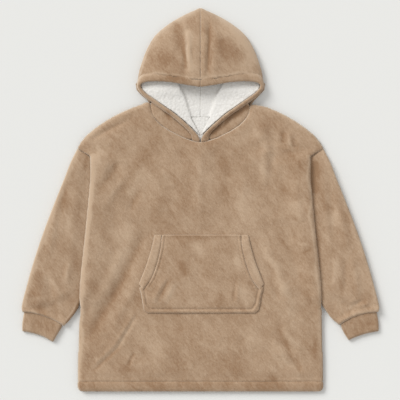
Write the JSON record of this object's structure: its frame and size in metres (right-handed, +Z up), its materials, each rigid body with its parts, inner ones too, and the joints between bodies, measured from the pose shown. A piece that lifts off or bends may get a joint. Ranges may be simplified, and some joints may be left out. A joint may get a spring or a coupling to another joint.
{
  "type": "wearable blanket hoodie",
  "caption": "Oversized wearable blanket hoodie in plush fleece with a curly-lined hood and a kangaroo pocket, laid flat with its front up.",
  "frame": {"origin": "on the surface that the garment lies on, under the middle of the laid garment", "axes": "+X to the right as the front is seen from above, +Y from the hem towards the hood, +Z up from the surface"},
  "size_m": [1.067, 1.143, 0.0502],
  "materials": {
    "plush": "brushed plush fleece with a short soft nap",
    "curly_lining": "off-white curly pile"
  },
  "bodies": {
    "root": {"back_panel": "plush", "front_panel": "plush", "hem_back": "plush", "hem_front": "plush", "pocket": "plush", "pocket_facing_left": "plush", "pocket_facing_right": "plush", "sleeve_left": "plush", "sleeve_right": "plush", "cuff_left": "plush", "cuff_right": "plush", "hood_left": "plush", "hood_right": "plush", "hood_band_left": "plush", "hood_band_right": "plush", "hood_front_left": "plush", "hood_front_right": "plush", "hood_lining_left": "curly_lining", "hood_lining_right": "curly_lining", "neck_lining": "curly_lining"}
  },
  "joints": []
}
